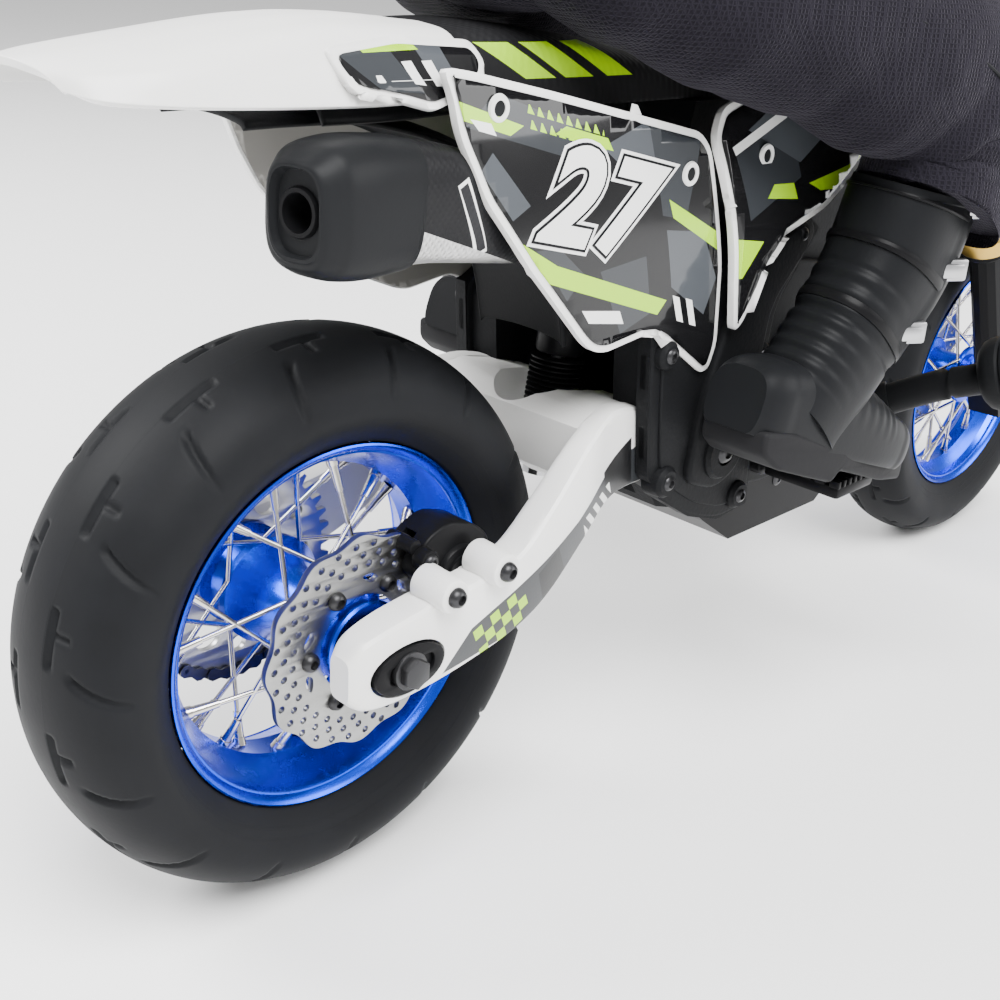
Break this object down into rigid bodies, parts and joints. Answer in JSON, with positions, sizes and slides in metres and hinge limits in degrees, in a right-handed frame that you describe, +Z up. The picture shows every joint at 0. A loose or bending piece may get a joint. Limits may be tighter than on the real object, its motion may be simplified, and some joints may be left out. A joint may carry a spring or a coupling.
{
  "type": "rc motorcycle",
  "caption": "Quarter-scale radio-controlled supermoto motorcycle with spoked wheels, sprung swingarm and fork, chain drive, gyro flywheel and a seated helmeted rider.",
  "frame": {"origin": "centre of the model's box on the ground, midway between its front and rear ends", "axes": "+X forward, +Y to the rider's left, +Z up"},
  "size_m": [0.5206, 0.2034, 0.4312],
  "materials": {
    "black_nylon": "fine textured moulding",
    "black_alloy": "satin black",
    "tyre": "moulded rubber",
    "blue_alloy": "satin blue anodised",
    "steel": "brushed",
    "dark_steel": "oiled",
    "gold_alloy": "gold anodised",
    "white_plastic": "satin white",
    "panel_plastic": "printed gloss",
    "neon_plastic": "neon yellow",
    "fabric": "knitted",
    "jersey": "knitted",
    "boot": "satin moulded",
    "helmet": "gloss"
  },
  "bodies": {
    "chassis": {"chassis_right": "black_nylon", "chassis_left": "black_nylon", "skid_plate": "black_alloy", "battery": "neon_plastic", "electronics": "black_nylon", "drive_motor": "black_alloy", "steering_servo": "black_nylon", "crash_bar_right": "black_nylon", "crash_bar_left": "black_nylon", "foot_peg_right": "black_alloy", "foot_peg_left": "black_alloy", "rear_fender": "white_plastic", "inner_fender": "black_nylon", "seat": "black_nylon", "tank_cover": "white_plastic", "side_panel_right": "panel_plastic", "side_panel_left": "panel_plastic", "shroud_right": "panel_plastic", "shroud_left": "panel_plastic", "muffler": "black_alloy", "muffler_cap": "black_nylon", "head_tube": "black_alloy", "rider_trousers": "fabric", "boot_right": "boot", "boot_left": "boot", "rider_torso": "jersey", "rider_arm_right": "jersey", "rider_arm_left": "jersey", "helmet": "helmet"},
    "swingarm": {"swingarm": "white_plastic", "rear_axle": "steel", "rear_caliper": "black_alloy", "drive_chain": "dark_steel"},
    "rear_wheel": {"rear_tyre": "tyre", "rear_rim": "blue_alloy", "rear_hub": "blue_alloy", "rear_brake_disc": "steel", "rear_sprocket": "steel"},
    "countershaft": {"counter_sprocket": "dark_steel"},
    "motor_rotor": {"motor_pinion": "gold_alloy"},
    "gyro": {"gyro_flywheel": "gold_alloy"},
    "steering": {"lower_clamp": "black_alloy", "fork_tube_right": "gold_alloy", "fork_tube_left": "gold_alloy", "handlebar": "black_alloy", "front_plate": "white_plastic", "front_fender": "white_plastic", "glove_right": "fabric", "glove_left": "fabric"},
    "servo_horn": {"servo_horn": "white_plastic"},
    "drag_link": {"drag_link": "steel"},
    "fork_lower": {"fork_slider_right": "black_alloy", "fork_slider_left": "black_alloy"},
    "front_wheel": {"front_tyre": "tyre", "front_rim": "blue_alloy", "front_hub": "blue_alloy", "front_brake_disc": "steel"},
    "shock_upper": {"shock_body": "black_alloy", "shock_spring": "black_nylon"},
    "shock_lower": {"shock_shaft": "steel"}
  },
  "joints": [
    {"name": "swingarm_pivot", "type": "hinge", "parent": "chassis", "child": "swingarm", "pos_m": [-0.0511, 0, 0.105], "axis": [0, 1, 0], "range_deg": [-5, 11], "stiffness_Nm_per_rad": 30, "springref_deg": -2.86, "deforming": ["shock_spring"]},
    {"name": "rear_wheel_spin", "type": "hinge", "parent": "swingarm", "child": "rear_wheel", "pos_m": [-0.1831, 0, 0.0772], "axis": [0, 1, 0], "continuous": true},
    {"name": "counter_sprocket_spin", "type": "hinge", "parent": "chassis", "child": "countershaft", "pos_m": [-0.0511, 0, 0.105], "axis": [0, 1, 0], "continuous": true},
    {"name": "motor_spin", "type": "hinge", "parent": "chassis", "child": "motor_rotor", "pos_m": [-0.0271, 0, 0.105], "axis": [0, 1, 0], "continuous": true},
    {"name": "gyro_spin", "type": "hinge", "parent": "chassis", "child": "gyro", "pos_m": [0.0209, 0, 0.108], "axis": [0, 1, 0], "continuous": true},
    {"name": "steering", "type": "hinge", "parent": "chassis", "child": "steering", "pos_m": [0.0934, 0, 0.215], "axis": [-0.4509, 0, 0.8926], "range_deg": [-25, 25], "deforming": ["rider_arm_right", "rider_arm_left"]},
    {"name": "servo_horn_turn", "type": "hinge", "parent": "chassis", "child": "servo_horn", "pos_m": [0.06632, 0, 0.16659], "axis": [-0.4509, 0, 0.8926], "range_deg": [-25.5, 25.5]},
    {"name": "drag_link_pivot", "type": "hinge", "parent": "servo_horn", "child": "drag_link", "pos_m": [0.05651, 0, 0.15939], "axis": [-0.4509, 0, 0.8926], "range_deg": [-25.5, 25.5]},
    {"name": "fork_slide", "type": "slide", "parent": "steering", "child": "fork_lower", "axis": [-0.4509, 0, 0.8926], "range_m": [-0.005, 0.018], "stiffness_N_per_m": 1500, "springref_m": -0.006},
    {"name": "front_wheel_spin", "type": "hinge", "parent": "fork_lower", "child": "front_wheel", "pos_m": [0.1849, 0, 0.0754], "axis": [0, 1, 0], "continuous": true},
    {"name": "shock_swing", "type": "hinge", "parent": "chassis", "child": "shock_upper", "pos_m": [-0.0791, 0, 0.166], "axis": [0, 1, 0], "range_deg": [-1.2, 2.6]},
    {"name": "shock_slide", "type": "slide", "parent": "shock_upper", "child": "shock_lower", "axis": [0.1455, 0, 0.9894], "range_m": [-0.0036, 0.0082], "deforming": ["shock_spring"]}
  ],
  "couplings": [
    {"joint": "counter_sprocket_spin", "follows": "rear_wheel_spin", "ratio": 3},
    {"joint": "motor_spin", "follows": "rear_wheel_spin", "ratio": -9},
    {"joint": "servo_horn_turn", "follows": "steering", "ratio": 1},
    {"joint": "drag_link_pivot", "follows": "steering", "ratio": -1},
    {"joint": "shock_swing", "follows": "swingarm_pivot", "ratio": 0.1812},
    {"joint": "shock_slide", "follows": "swingarm_pivot", "m_per_rad": 0.036577}
  ]
}
